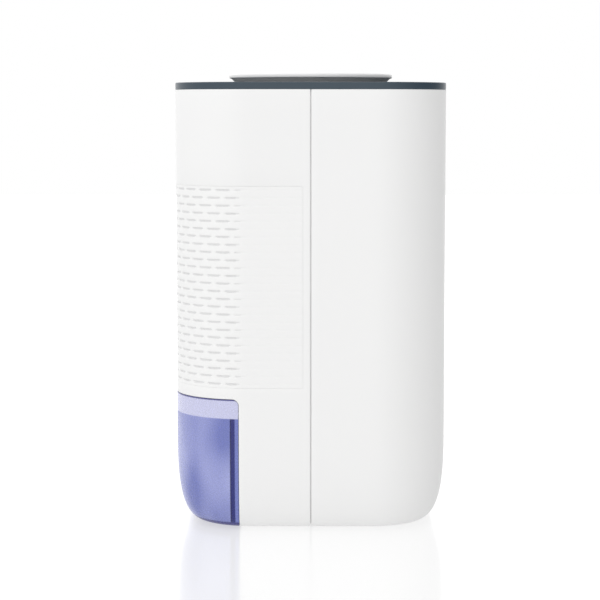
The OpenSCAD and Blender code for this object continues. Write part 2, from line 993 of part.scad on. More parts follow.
module tank_lid() {
    rim_inset = tank_wall + slip;
    hollow_inset = 2 * tank_wall + slip;
    color("#e3e5ee") {
        difference() {
            union() {
                translate([0, 0, lid_z])
                    linear_extrude(lid_t)
                        lid_plan(rim_inset);
                translate([0, 0, lid_z - collar_h])
                    linear_extrude(collar_h + eps)
                        intersection() {
                            difference() {
                                lid_plan(hollow_inset);
                                lid_plan(hollow_inset + collar_t);
                            }
                            translate([-far / 2, step_y])
                                square([far, far]);
                        }
            }
            translate([0, spout_y, lid_z - 1])
                cylinder(r = drip_hole_r, h = lid_t + 2);
            translate([0, plug_y, lid_z - 1])
                cylinder(r = plug_r, h = lid_t + 2);
        }
        for (sx = [-1, 1])
            translate([float_x + sx * (ear_gap + ear_t) / 2 - ear_t / 2, pivot_y, pivot_z])
                rotate([90, 0, 90])
                    linear_extrude(ear_t)
                        difference() {
                            union() {
                                circle(ear_r);
                                translate([-ear_r, 0])
                                    square([2 * ear_r, lid_z - pivot_z + eps]);
                            }
                            circle(pin_r);
                        }
    }
}

module tank_plug() {
    depth = 3;
    skin_t = 1.5;
    rim = 2;
    seat = depth + lid_t;
    color("#59636c")
        translate([0, plug_y, lid_z - depth])
            rotate_extrude()
                polygon([
                    [0, skin_t],
                    [plug_r - 2 * skin_t, skin_t],
                    [plug_r - 2 * skin_t, 0],
                    [plug_r, 0],
                    [plug_r, seat],
                    [plug_r + rim, seat],
                    [plug_r + rim, seat + skin_t],
                    [0, seat + skin_t]
                ]);
}

module float_pin() {
    color(steel)
        translate([float_x, pivot_y, pivot_z])
            rotate([0, 90, 0])
                cylinder(r = pin_r, h = ear_gap + 2 * ear_t + 2, center = true);
}

// Frame of the float arm at rest: Y runs back along the arm, X along the pin
module on_float_arm() {
    translate([float_x, pivot_y, pivot_z])
        rotate([float_droop, 0, 0])
            children();
}

module float_arm() {
    hub_w = ear_gap - 1;
    color("#f0efe9")
        on_float_arm() {
            difference() {
                union() {
                    rotate([0, 90, 0])
                        cylinder(r = pin_r + 2.2, h = hub_w, center = true);
                    translate([-hub_w / 2 + 1, -float_near - 1, -1.2])
                        cube([hub_w - 2, float_near + 1, 2.4]);
                }
                rotate([0, 90, 0])
                    cylinder(r = pin_r + pin_clear, h = hub_w + 2, center = true);
            }
            difference() {
                translate([-float_w / 2, -float_near - float_len, -float_down])
                    cube([float_w, float_len, float_down + float_up]);
                translate([0, -float_near - float_len / 2, float_up - float_magnet_h])
                    cylinder(r = float_magnet_r, h = float_magnet_h + 1);
            }
        }
}

module float_magnet() {
    color("#55585c")
        on_float_arm()
            translate([0, -float_near - float_len / 2, float_up - float_magnet_h])
                cylinder(r = float_magnet_r, h = float_magnet_h);
}

front_shell();
rear_shell();
trim_ring();
outlet_grille();
cap_skirt();
cap_top();
light_ring();
power_button();
display_board();
tact_switch();
switch_plunger();
fan_frame();
fan_rotor();
rotor_magnet();
fan_shaft();
fan_bearing();
fan_stator();
fan_screws();
hot_sink();
thermoelectric_module();
insulation_gasket();
cold_sink();
clamp_screws();
drip_tray();
chassis();
chassis_screws();
control_board();
board_components();
board_screws();
dc_jack();
level_sensor();
rubber_feet();
housing_screws();
tank_vessel();
tank_lid();
tank_plug();
float_pin();
float_arm();
float_magnet();
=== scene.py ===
"""Looks of the compact dehumidifier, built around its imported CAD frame. Metres, +Z up, the front faces -Y."""
import json
import math

import bmesh
import bpy
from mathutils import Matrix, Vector


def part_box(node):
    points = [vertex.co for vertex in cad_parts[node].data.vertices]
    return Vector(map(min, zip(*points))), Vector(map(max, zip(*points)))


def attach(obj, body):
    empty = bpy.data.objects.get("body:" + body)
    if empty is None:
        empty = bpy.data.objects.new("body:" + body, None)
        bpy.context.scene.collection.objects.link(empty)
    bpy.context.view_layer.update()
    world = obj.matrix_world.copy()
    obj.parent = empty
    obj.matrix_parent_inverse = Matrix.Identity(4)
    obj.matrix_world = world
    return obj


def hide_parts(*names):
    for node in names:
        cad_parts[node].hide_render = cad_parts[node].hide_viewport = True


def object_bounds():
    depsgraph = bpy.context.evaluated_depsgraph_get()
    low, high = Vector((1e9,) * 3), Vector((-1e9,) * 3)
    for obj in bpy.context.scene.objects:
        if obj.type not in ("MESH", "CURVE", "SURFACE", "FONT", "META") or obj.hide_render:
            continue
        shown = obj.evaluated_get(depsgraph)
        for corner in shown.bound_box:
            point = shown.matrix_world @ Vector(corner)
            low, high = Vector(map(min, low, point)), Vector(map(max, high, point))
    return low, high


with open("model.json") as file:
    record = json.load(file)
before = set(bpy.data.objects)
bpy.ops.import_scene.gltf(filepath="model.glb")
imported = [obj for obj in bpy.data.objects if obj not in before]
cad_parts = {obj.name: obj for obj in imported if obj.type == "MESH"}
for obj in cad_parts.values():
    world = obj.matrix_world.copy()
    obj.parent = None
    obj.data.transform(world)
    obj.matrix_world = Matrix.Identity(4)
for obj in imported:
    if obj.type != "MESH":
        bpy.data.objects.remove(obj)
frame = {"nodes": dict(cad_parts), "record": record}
cad_box = [list(corner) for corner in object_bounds()]

# ---------------------------------------------------------------- sizes, in metres
MM = 0.001
LOW, HIGH = Vector(cad_box[0]), Vector(cad_box[1])
HALF_W = (HIGH.x - LOW.x) / 2
HALF_D = (HIGH.y - LOW.y) / 2
SHELL_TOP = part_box("front_shell")[1].z
FOOT_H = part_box("front_shell")[0].z
RIM_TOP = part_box("trim_ring")[1].z
CAP_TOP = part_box("cap_top")[1].z
CAP_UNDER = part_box("cap_top")[0].z
CAP_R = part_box("cap_top")[1].x
DECK_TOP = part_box("outlet_grille")[1].z
SEAM_HALF = -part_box("front_shell")[1].y
WALL = 2.5 * MM
CORNER_R = 40 * MM
BASE_REACH = 18 * MM
BASE_HEIGHT = 51 * MM
BASE_POWER = 3
CORE_X = HALF_W - CORNER_R
CORE_Y = HALF_D - CORNER_R

PANEL_LOW = 79 * MM
PANEL_HIGH = PANEL_LOW + 108.5 * MM
PANEL_RECESS = 0.8 * MM
PANEL_MARGIN = 3.8 * MM
PANEL_GAP = 0.06 * MM
WEAVE_ROWS = 26
WEAVE_STAKES = 47

TANK_TOP = 73 * MM
TANK_EDGE = -(HALF_D - 35.5 * MM)
TANK_CORNER = 3.6 * MM
TANK_INNER = TANK_EDGE - TANK_CORNER
TANK_GAP = 0.3 * MM
TANK_WALL = 2.2 * MM
VESSEL_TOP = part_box("tank_lid")[1].z - 2 * MM
VESSEL_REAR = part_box("tank_vessel")[1].y
VESSEL_INSET = WALL + 1 * MM
STEP_Y = TANK_EDGE - 3.8 * MM


# ---------------------------------------------------------------- materials
def nodes_of(name):
    mat = bpy.data.materials.new(name)
    mat.use_nodes = True
    tree = mat.node_tree
    tree.nodes.clear()
    out = tree.nodes.new("ShaderNodeOutputMaterial")
    shader = tree.nodes.new("ShaderNodeBsdfPrincipled")
    tree.links.new(shader.outputs[0], out.inputs[0])
    return mat, tree, shader


def noise(tree, scale, detail=3.0, stretch=None):
    """Noise in object space, its pattern stretched along the axes when asked."""
    where = tree.nodes.new("ShaderNodeTexCoord").outputs["Object"]
    if stretch:
        mapping = tree.nodes.new("ShaderNodeMapping")
        mapping.inputs["Scale"].default_value = stretch
        tree.links.new(where, mapping.inputs["Vector"])
        where = mapping.outputs["Vector"]
    tex = tree.nodes.new("ShaderNodeTexNoise")
    tex.inputs["Scale"].default_value = scale
    tex.inputs["Detail"].default_value = detail
    tree.links.new(where, tex.inputs["Vector"])
    return tex.outputs["Fac"]


def spread(tree, value, low, high):
    """Maps a 0 to 1 value to the range from low to high."""
    node = tree.nodes.new("ShaderNodeMapRange")
    node.inputs["To Min"].default_value = low
    node.inputs["To Max"].default_value = high
    tree.links.new(value, node.inputs["Value"])
    return node.outputs["Result"]


def tint(tree, value, dark, light):
    node = tree.nodes.new("ShaderNodeMix")
    node.data_type = "RGBA"
    node.inputs["A"].default_value = (*dark, 1)
    node.inputs["B"].default_value = (*light, 1)
    tree.links.new(value, node.inputs["Factor"])
    return node.outputs["Result"]


def surface(name, color, rough, vary=0.03, grain=900, bump=0.02, metal=0.0, stretch=None,
            transmission=0.0, ior=1.45, coat=0.0, subsurface=0.0):
    """A moulded or metal surface: slight mottling, uneven polish and a fine grain."""
    mat, tree, shader = nodes_of(name)
    mottle = noise(tree, 14, 4)
    dark = [c * (1 - vary) for c in color]
    light = [min(1, c * (1 + vary)) for c in color]
    tree.links.new(tint(tree, mottle, dark, light), shader.inputs["Base Color"])
    fine = noise(tree, grain, 2, stretch)
    tree.links.new(spread(tree, fine, rough * 0.85, min(1, rough * 1.15)), shader.inputs["Roughness"])
    relief = tree.nodes.new("ShaderNodeBump")
    relief.inputs["Strength"].default_value = bump
    relief.inputs["Distance"].default_value = 0.05 * MM
    tree.links.new(fine, relief.inputs["Height"])
    tree.links.new(relief.outputs["Normal"], shader.inputs["Normal"])
    shader.inputs["Metallic"].default_value = metal
    shader.inputs["IOR"].default_value = ior
    shader.inputs["Transmission Weight"].default_value = transmission
    shader.inputs["Coat Weight"].default_value = coat
    if subsurface:
        shader.inputs["Subsurface Weight"].default_value = subsurface
        shader.inputs["Subsurface Scale"].default_value = 1.2 * MM
    return mat


def share_of(tree, value, low, high):
    """0 up to low, 1 from high on, and straight between them."""
    node = tree.nodes.new("ShaderNodeMapRange")
    node.inputs["From Min"].default_value = low
    node.inputs["From Max"].default_value = high
    tree.links.new(value, node.inputs["Value"])
    return node.outputs["Result"]


def blend(tree, share, under, over):
    """One colour over another: each is a socket or a plain colour."""
    node = tree.nodes.new("ShaderNodeMix")
    node.data_type = "RGBA"
    tree.links.new(share, node.inputs["Factor"])
    for name, value in (("A", under), ("B", over)):
        if isinstance(value, tuple):
            node.inputs[name].default_value = (*value, 1)
        else:
            tree.links.new(value, node.inputs[name])
    return node.outputs["Result"]


def product(tree, a, b):
    node = tree.nodes.new("ShaderNodeMath")
    node.operation = "MULTIPLY"
    tree.links.new(a, node.inputs[0])
    tree.links.new(b, node.inputs[1])
    return node.outputs["Value"]


def squared(tree, value):
    return product(tree, value, value)


def tinted(name, edges):
    """Translucent blue plastic: clouded by the wet inside, pale above the vessel, dark with painted shade where
    a wall is seen end on. edges adds the outer skin's dark lines of painted shade: at the step, over the gap
    behind it, along the top gap and at the foot."""
    cloud_dark, cloud_pale = (0.215, 0.250, 0.620), (0.450, 0.485, 0.860)
    # Painted shade: dark colours for the step's line, its wall seen end on, the shaded gap seen through the
    # flange, the top gap and the foot.
    step_line_painted_shade, step_wall_painted_shade, flange_gap_painted_shade = (0.004, 0.005, 0.070), (0.022, 0.028, 0.215), (0.220, 0.260, 0.660)
    band_pale, top_gap_painted_shade, foot_painted_shade = (0.740, 0.750, 1.000), (0.130, 0.130, 0.340), (0.045, 0.045, 0.270)
    mat, tree, shader = nodes_of(name)
    clouds = share_of(tree, noise(tree, 30, 1.5, (1, 1, 0.5)), 0.41, 0.59)
    color = blend(tree, clouds, cloud_dark, cloud_pale)
    place = tree.nodes.new("ShaderNodeSeparateXYZ")
    tree.links.new(tree.nodes.new("ShaderNodeTexCoord").outputs["Object"], place.inputs["Vector"])
    y, z = place.outputs["Y"], place.outputs["Z"]
    blur = 0.25 * MM
    above = share_of(tree, z, VESSEL_TOP - blur, VESSEL_TOP + blur)
    # Painted shade at the step: a dark line, the wall seen end on, and the shaded gap behind the flange.
    if edges:
        behind = share_of(tree, y, STEP_Y + 1.6 * MM - blur, STEP_Y + 1.6 * MM + blur)
        wall = share_of(tree, y, STEP_Y - 0.5 * MM - blur, STEP_Y - 0.5 * MM + blur)
        line = share_of(tree, y, STEP_Y - 1.0 * MM - blur, STEP_Y - 1.0 * MM + blur)
        color = blend(tree, line, color, step_line_painted_shade)
        color = blend(tree, wall, color, step_wall_painted_shade)
        color = blend(tree, behind, color, flange_gap_painted_shade)
    color = blend(tree, above, color, band_pale)
    # Painted shade along the gap at the top edge and where the skin turns under at the foot.
    if edges:
        top = TANK_TOP - TANK_GAP
        color = blend(tree, share_of(tree, z, top - 0.8 * MM, top - 0.5 * MM), color, top_gap_painted_shade)
        low = FOOT_H + 3 * MM
        color = blend(tree, share_of(tree, z, low + 0.7 * MM, low), color, foot_painted_shade)
    tree.links.new(color, shader.inputs["Base Color"])
    fine = noise(tree, 900, 2)
    tree.links.new(spread(tree, fine, 0.24, 0.30), shader.inputs["Roughness"])
    shader.inputs["IOR"].default_value = 1.49
    shader.inputs["Transmission Weight"].default_value = 0.22
    return mat


WHITE = surface("white_moulding", (0.90, 0.90, 0.897), 0.42, vary=0.006, bump=0.12)
# The cap's white is a little brighter than the body's: painted light standing in for stronger light on the cap.
CAP_WHITE_PAINTED_LIGHT = surface("cap_moulding_painted_light", (0.93, 0.93, 0.93), 0.36, vary=0.008, bump=0.08)
# A darker copy of the white for the weave's deep faces: painted shade in the grooves.
PAINTED_GROOVE_SHADE = surface("weave_groove_painted_shade", (0.80, 0.80, 0.80), 0.50, vary=0.01, bump=0.12)
BUTTON = surface("button_moulding", (0.78, 0.785, 0.79), 0.34, vary=0.01, bump=0.08)
SLATE = surface("slate_moulding", (0.041, 0.063, 0.084), 0.32, vary=0.05, bump=0.15)
NECK = surface("neck_moulding", (0.56, 0.56, 0.56), 0.45, vary=0.04, bump=0.15)
FROST = surface("frosted_guide", (0.86, 0.90, 0.94), 0.45, vary=0.01, transmission=0.35)
TANK = tinted("tinted_tank_painted_shade", True)
TUB = tinted("tinted_tub", False)
LID = surface("lid_moulding", (0.80, 0.81, 0.90), 0.45, vary=0.01)
RUBBER = surface("foot_rubber", (0.035, 0.036, 0.040), 0.75, vary=0.10, grain=1500, bump=0.3)
PLUG = surface("plug_silicone", (0.095, 0.120, 0.145), 0.60, vary=0.06, bump=0.2)
CHASSIS = surface("chassis_moulding", (0.63, 0.64, 0.65), 0.50, vary=0.02, bump=0.15)
TRAY = surface("tray_moulding", (0.70, 0.72, 0.74), 0.42, vary=0.02, bump=0.10)
BOARD = surface("solder_mask", (0.020, 0.130, 0.060), 0.38, vary=0.20, grain=500, bump=0.25)
BLACK = surface("black_moulding", (0.020, 0.022, 0.025), 0.45, vary=0.10, bump=0.2)
FAN = surface("fan_moulding", (0.026, 0.028, 0.031), 0.48, vary=0.10, bump=0.2)
COPPER = surface("winding", (0.50, 0.21, 0.09), 0.38, vary=0.15, bump=0.3, metal=0.8, stretch=(1, 1, 9))
BRONZE = surface("sintered_bronze", (0.42, 0.28, 0.13), 0.50, vary=0.12, bump=0.4, metal=1.0)
STEEL = surface("plated_steel", (0.55, 0.56, 0.58), 0.32, vary=0.05, bump=0.10, metal=1.0)
FERRITE = surface("ferrite", (0.075, 0.073, 0.075), 0.62, vary=0.15, bump=0.4)
ALUMINIUM = surface("extruded_aluminium", (0.72, 0.73, 0.75), 0.36, vary=0.04, bump=0.25, metal=1.0,
                    stretch=(9, 9, 0.4))
CERAMIC = surface("alumina", (0.82, 0.81, 0.77), 0.55, vary=0.03, bump=0.2)
FOAM = surface("gasket_foam", (0.028, 0.028, 0.029), 0.90, vary=0.20, grain=1400, bump=0.8)
SENSOR = surface("sensor_moulding", (0.020, 0.085, 0.115), 0.45, vary=0.08)
FLOAT = surface("float_foam", (0.80, 0.79, 0.74), 0.75, vary=0.04, grain=1200, bump=0.5)

NODE_LOOKS = {
    "outlet_grille": SLATE, "cap_skirt": NECK, "light_ring": FROST, "display_board": BOARD,
    "tact_switch": BLACK, "switch_plunger": BLACK, "fan_frame": FAN, "fan_rotor": FAN,
    "rotor_magnet": FERRITE, "fan_shaft": STEEL, "fan_bearing": BRONZE, "fan_stator": COPPER,
    "fan_screws": STEEL, "hot_sink": ALUMINIUM, "thermoelectric_module": CERAMIC,
    "insulation_gasket": FOAM, "cold_sink": ALUMINIUM, "clamp_screws": STEEL, "drip_tray": TRAY,
    "chassis": CHASSIS, "chassis_screws": STEEL, "control_board": BOARD, "board_components": BLACK,
    "board_screws": STEEL, "dc_jack": BLACK, "level_sensor": SENSOR, "housing_screws": STEEL,
    "tank_lid": LID, "tank_plug": PLUG, "float_pin": STEEL, "float_arm": FLOAT,
    "float_magnet": FERRITE,
}
for node_name, look in NODE_LOOKS.items():
    mesh = frame["nodes"][node_name].data
    mesh.materials.clear()
    mesh.materials.append(look)


# ---------------------------------------------------------------- mesh helpers
class Skin:
    """Faces gathered from patches that share their edges point for point."""

    def __init__(self):
        self.points = []
        self.faces = []
        self.index = {}

    def at(self, p):
        key = tuple(round(c * 1e7) for c in p)
        if key not in self.index:
            self.index[key] = len(self.points)
            self.points.append(tuple(p))
        return self.index[key]

    def face(self, corners):
        ids = []
        for p in corners:
            i = self.at(p)
            if not ids or (ids[-1] != i and ids[0] != i):
                ids.append(i)
        if len(ids) > 2:
            self.faces.append(ids)

    def patch(self, rows, keep=None):
        """A grid of points as quads. keep(i, j) may leave a quad out."""
        for i in range(len(rows) - 1):
            for j in range(len(rows[i]) - 1):
                if keep is None or keep(i, j):
                    self.face([rows[i][j], rows[i][j + 1], rows[i + 1][j + 1], rows[i + 1][j]])

    def strip(self, a, b):
        self.patch([a, b])


def finish_piece(name, skin, look, body, stands_for, thickness=0.0, bevel=0.0, angle=30,
                 segments=3):
    mesh = bpy.data.meshes.new(name)
    mesh.from_pydata(skin.points, [], skin.faces)
    mesh.update()
    tidy = bmesh.new()
    tidy.from_mesh(mesh)
    bmesh.ops.recalc_face_normals(tidy, faces=tidy.faces)
    if thickness:
        face_outward(tidy)
    tidy.to_mesh(mesh)
    tidy.free()
    obj = bpy.data.objects.new(name, mesh)
    bpy.context.scene.collection.objects.link(obj)
    mesh.materials.append(look)
    if thickness:
        shell = obj.modifiers.new("wall", "SOLIDIFY")
        shell.thickness = thickness
        shell.offset = -1
        shell.use_even_offset = True
    if bevel:
        edge = obj.modifiers.new("edge", "BEVEL")
        edge.width = bevel
        edge.segments = segments
        edge.limit_method = "ANGLE"
        edge.angle_limit = math.radians(50)
        edge.use_clamp_overlap = True
        edge.harden_normals = False
    bake_modifiers(obj)
    for polygon in obj.data.polygons:
        polygon.use_smooth = True
    obj.data.set_sharp_from_angle(angle=math.radians(angle))
    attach(obj, body)
    if stands_for:
        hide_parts(*stands_for)
    return obj


def face_outward(tidy):
    """Turns an open shell's faces away from its middle, so that its wall grows inwards."""
    middle = sum((v.co for v in tidy.verts), Vector()) / len(tidy.verts)
    outward = sum(f.normal.dot(f.calc_center_median() - middle) * f.calc_area() for f in tidy.faces)
    if outward < 0:
        bmesh.ops.reverse_faces(tidy, faces=tidy.faces)


def bake_modifiers(obj):
    if not obj.modifiers:
        return
    graph = bpy.context.evaluated_depsgraph_get()
    graph.update()
    done = bpy.data.meshes.new_from_object(obj.evaluated_get(graph))
    obj.modifiers.clear()
    obj.data = done


# ---------------------------------------------------------------- the body's surface
def side_column(y, side):
    """A column up one side of the body. A column gives (x, y) for a distance in from the wall."""
    return lambda inset: (side * (CORE_X + CORNER_R - inset), y)


def arc_column(turn, side, end):
    """A column on a corner: turn is 0 on the side wall and 90 degrees on the front (end -1) or rear wall."""
    a = math.radians(turn)
    return lambda inset: (side * (CORE_X + (CORNER_R - inset) * math.cos(a)),
                          end * (CORE_Y + (CORNER_R - inset) * math.sin(a)))


def end_column(x, end):
    return lambda inset: (x, end * (CORE_Y + CORNER_R - inset))


def depth_column(y, side):
    """A column that keeps its depth where the corner and the rounding curve away from it."""
    past = max(0.0, -CORE_Y - y)
    return lambda inset: (side * (CORE_X + math.sqrt((CORNER_R - inset) ** 2 - past ** 2)), y)


def front_column(share, side):
    """A column on a front corner: share is 0 where the tank's rear corner begins and 1 at the front wall."""
    def at(inset):
        reach = CORNER_R - inset
        first = math.asin((-CORE_Y - TANK_INNER) / reach)
        a = first + share * (math.pi / 2 - first)
        return (side * (CORE_X + reach * math.cos(a)), -(CORE_Y + reach * math.sin(a)))
    return at


def on_body(column, row):
    """The body's surface at a column, where row is (distance in from the wall, height)."""
    return (*column(row[0]), row[1])


def base_rows(inset, count=22):
    """The rounding under the body, from the foot of the wall to the flat underside."""
    rows = []
    for k in range(count + 1):
        t = math.radians(90 * k / count)
        out = (BASE_REACH - inset) * max(0.0, math.cos(t)) ** (2 / BASE_POWER)
        up = (BASE_HEIGHT - inset) * math.sin(t) ** (2 / BASE_POWER)
        rows.append((BASE_REACH - out, FOOT_H + BASE_HEIGHT - up))
    return rows


def steps(a, b, count):
    return [a + (b - a) * k / count for k in range(count + 1)]


CORNER_CUTS = 12
FRONT_SHARES = steps(0, 1, 26)
ACROSS = 12


def front_ring(lead):
    """Columns round the front: lead gives those on a side, from the rear to the tank's rear corner."""
    right = [depth_column(y, 1) for y in lead[:-1]] + [front_column(s, 1) for s in FRONT_SHARES]
    left = [front_column(s, -1) for s in reversed(FRONT_SHARES)]
    left += [depth_column(y, -1) for y in reversed(lead[:-1])]
    return right + [end_column(x, -1) for x in steps(CORE_X, -CORE_X, ACROSS)[1:-1]] + left


def corner_arc(radius, y_edge, z_top, side):
    """Points of the tank's upper rear corner on the body's surface, from its rear edge to its top edge."""
    points = []
    for phi in steps(0, 90, CORNER_CUTS):
        a = math.radians(phi)
        y = y_edge - radius + radius * math.cos(a)
        z = z_top - radius + radius * math.sin(a)
        points.append(on_body(depth_column(y, side), (0, z)))
    return points


def build_front_shell():
    skin = Skin()
    half = CORNER_CUTS // 2
    border_y = -SEAM_HALF - PANEL_MARGIN
    corner_y = steps(TANK_EDGE, TANK_INNER, half)
    field_y = steps(border_y, -CORE_Y, 8) + steps(-CORE_Y, TANK_EDGE, 3)[1:]
    seam_y = steps(-SEAM_HALF, border_y, 2)
    ring = front_ring(field_y + corner_y[1:])
    right = [depth_column(y, 1) for y in seam_y]
    left = [depth_column(y, -1) for y in reversed(seam_y)]
    whole = right[:-1] + ring + left[1:]
    upper = [(0, z) for z in steps(SHELL_TOP, PANEL_HIGH, 4)]
    field = [(0, z) for z in steps(PANEL_HIGH, PANEL_LOW, 8)]
    sunk = [(PANEL_RECESS, z) for z in steps(PANEL_HIGH, PANEL_LOW, 8)]
    lower = [(0, z) for z in steps(PANEL_LOW, TANK_TOP, 2)]
    skin.patch([[on_body(c, r) for c in whole] for r in upper])
    skin.patch([[on_body(c, r) for c in ring] for r in sunk])
    for margin in (right, left):
        skin.patch([[on_body(c, r) for c in margin] for r in field])
    for a, b in ((field[0], sunk[0]), (sunk[-1], field[-1])):
        skin.strip([on_body(c, a) for c in ring], [on_body(c, b) for c in ring])
    for c in (ring[0], ring[-1]):
        skin.strip([on_body(c, r) for r in field], [on_body(c, r) for r in sunk])
    skin.patch([[on_body(c, r) for c in whole] for r in lower])
    # Sides below the tank's top edge, and the floor between them
    arc_z = steps(TANK_TOP, TANK_TOP - TANK_CORNER, half)
    wall_rows = [(0, z) for z in arc_z + steps(arc_z[-1], FOOT_H + BASE_HEIGHT, 4)[1:-1]] + base_rows(0)
    side_y = seam_y[:-1] + field_y
    for side in (1, -1):
        skin.patch([[on_body(depth_column(y, side), r) for y in side_y] for r in wall_rows])
        arc = corner_arc(TANK_CORNER, TANK_EDGE, TANK_TOP, side)
        edge = [on_body(depth_column(TANK_EDGE, side), (0, z)) for z in reversed(arc_z)]
        edge += [on_body(depth_column(y, side), (0, TANK_TOP)) for y in corner_y[1:]]
        skin.strip(arc, edge)
    floor = []
    for y in side_y:
        limit = depth_column(y, 1)(BASE_REACH)[0]
        floor.append([(x, y, FOOT_H) for x in steps(limit, -limit, ACROSS)])
    skin.patch(floor)
    return finish_piece("front_shell_moulding", skin, WHITE, "casing", ["front_shell"],
                        thickness=WALL, bevel=0.22 * MM)


def round_hole(skin, centre, radius, edge, place):
    """Fills the ring between a round hole and the straight-edged gap around it. edge lists the gap's four
    sides in turn, each from corner to corner, starting at the corner that lies at 45 degrees."""
    per_side = 8
    for side, line in enumerate(edge):
        first = 45 + 90 * side
        arc = []
        for phi in steps(first, first + 90, per_side):
            a = math.radians(phi)
            arc.append((centre[0] + radius * math.cos(a), centre[1] + radius * math.sin(a)))
        middle = len(line) // 2
        skin.face([place(*q) for q in line[:middle + 1] + arc[:per_side // 2 + 1][::-1]])
        skin.face([place(*q) for q in line[middle:] + arc[per_side // 2:][::-1]])


def gap_edge(us, vs):
    """The four sides of a rectangular gap whose grid lines are us and vs (both rising)."""
    top = [(u, vs[-1]) for u in reversed(us)]
    left = [(us[0], v) for v in reversed(vs)]
    bottom = [(u, vs[0]) for u in us]
    right = [(us[-1], v) for v in vs]
    return [top, left, bottom, right]


def build_rear_shell():
    skin = Skin()
    sink_low, sink_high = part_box("hot_sink")[0].z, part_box("hot_sink")[1].z
    vent_low, vent_high = sink_low + 2 * MM, sink_high - 2 * MM
    jack_low, jack_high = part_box("dc_jack")
    jack = ((jack_low.x + jack_high.x) / 2, (jack_low.z + jack_high.z) / 2)
    jack_hole = 4.1 * MM
    gap = 6 * MM
    slot_half, pitch = 1.5 * MM, 6 * MM
    count = int((CORE_X - 2 * slot_half) / pitch)
    slot_edges = [k * pitch + s * slot_half for k in range(-count, count + 1) for s in (-1, 1)]
    across = sorted(slot_edges + [jack[0] - gap, jack[0] + gap, CORE_X, -CORE_X], reverse=True)
    turns = [3 * k for k in range(31)]
    seam = steps(SEAM_HALF, CORE_Y, 8)
    whole = [side_column(y, 1) for y in seam] + [arc_column(t, 1, 1) for t in turns[1:-1]]
    first = len(whole)
    whole += [end_column(x, 1) for x in across]
    last = len(whole) - 1
    whole += [arc_column(t, -1, 1) for t in reversed(turns[1:-1])]
    whole += [side_column(y, -1) for y in reversed(seam)]
    upper = [(0, z) for z in steps(SHELL_TOP, vent_high, 3)]
    vent = [(0, vent_high), (0, vent_low)]
    middle = [(0, z) for z in steps(vent_low, jack[1] + gap, 3)]
    jack_rows = [(0, jack[1] + gap), (0, jack[1] - gap)]
    below = [(0, jack[1] - gap)] + base_rows(0)

    def middle_x(j):
        return (whole[j](0)[0] + whole[j + 1](0)[0]) / 2

    def is_slot(i, j):
        if j < first or j >= last:
            return True
        x = middle_x(j)
        k = round(x / pitch)
        return not (abs(k) <= count and abs(x - k * pitch) < slot_half)

    def is_jack(i, j):
        if j < first or j >= last:
            return True
        return abs(middle_x(j) - jack[0]) > gap

    skin.patch([[on_body(c, r) for c in whole] for r in upper])
    skin.patch([[on_body(c, r) for c in whole] for r in vent], is_slot)
    skin.patch([[on_body(c, r) for c in whole] for r in middle])
    skin.patch([[on_body(c, r) for c in whole] for r in jack_rows], is_jack)
    skin.patch([[on_body(c, r) for c in whole] for r in below])
    inside = sorted(x for x in across if abs(x - jack[0]) < gap + 1e-9)
    round_hole(skin, jack, jack_hole, gap_edge(inside, [jack[1] - gap, jack[1] + gap]),
               lambda x, z: (x, HALF_D, z))
    # The flat underside: one row of points follows the rear flat's columns, the others reach to the seam
    floor_half = CORNER_R - BASE_REACH
    foot_row = (BASE_REACH, FOOT_H)
    xs = [CORE_X + floor_half] + [CORE_X] + across[1:-1] + [-CORE_X] + [-CORE_X - floor_half]
    for a, b in zip(seam, seam[1:]):
        skin.patch([[(x, y, FOOT_H) for x in xs] for y in (a, b)])
    for side in (1, -1):
        rim = [on_body(arc_column(t, side, 1), foot_row) for t in turns]
        hub = (side * CORE_X, CORE_Y, FOOT_H)
        for p, q in zip(rim, rim[1:]):
            skin.face([hub, p, q])
    skin.strip([(x, CORE_Y, FOOT_H) for x in across], [(x, CORE_Y + floor_half, FOOT_H) for x in across])
    return finish_piece("rear_shell_moulding", skin, WHITE, "casing", ["rear_shell"],
                        thickness=WALL, bevel=0.22 * MM)


def build_tongue():
    """The rear shell's tongue, which closes the seam from inside."""
    skin = Skin()
    outer, inner = WALL / 2 + 0.1 * MM, WALL
    loops = []
    for y, inset in ((-SEAM_HALF + 0.02 * MM, outer), (SEAM_HALF + 0.5 * MM, outer),
                     (SEAM_HALF + 0.5 * MM, inner), (-SEAM_HALF + 0.02 * MM, inner)):
        rows = [(inset, z) for z in steps(SHELL_TOP, FOOT_H + BASE_HEIGHT, 6)[:-1]] + base_rows(inset)
        right = [on_body(side_column(y, 1), r) for r in rows]
        left = [on_body(side_column(y, -1), r) for r in reversed(rows)]
        loops.append(right + left)
    loops.append(loops[0])
    skin.patch(loops)
    skin.face([loop[0] for loop in loops[:4]])
    skin.face([loop[-1] for loop in loops[:4]][::-1])
    return finish_piece("seam_tongue", skin, WHITE, "casing", ["rear_shell"])


# ---------------------------------------------------------------- the woven panel
def weave_height(along, down, row_h, half):
    """Height of the weave, 0 to 1, at a place along the panel and down from its top: flat strands that cross
    over and under, with a short groove along the lower side of each strand where it lies on top."""
    first_row = 0.39
    dash_half, dash_blur = 0.82, 0.16
    groove_at, groove_half, groove_gain = 0.89, 0.15, 1.2
    strand_at, strand_half = 0.43, 0.46
    flat, crown = 0.84, 0.16
    run = down / row_h + first_row
    row = math.floor(run)
    v = run - row
    off_middle = abs((along / half + row + 1) % 2 - 1)
    dash = min(1.0, max(0.0, (dash_half - off_middle) / dash_blur))
    groove = max(0.0, 1 - abs(v - groove_at) / groove_half)
    across = (v - strand_at) / strand_half
    pillow = math.sqrt(max(0.0, 1 - across * across)) * (1 - off_middle * off_middle)
    return (flat + crown * pillow) * (1 - min(1.0, groove_gain * groove) * dash)


def weave_strength(along, length, side_run):
    """The relief is full on the front and its corners, and fades out on the sides towards the seam."""
    faint, rest = 0.12, 0.88
    fade_start, fade_run = 0.5 * MM, 6 * MM
    from_seam = min(along, length - along)
    share = (from_seam - side_run - fade_start) / fade_run
    return faint + rest * min(1.0, max(0.0, share))


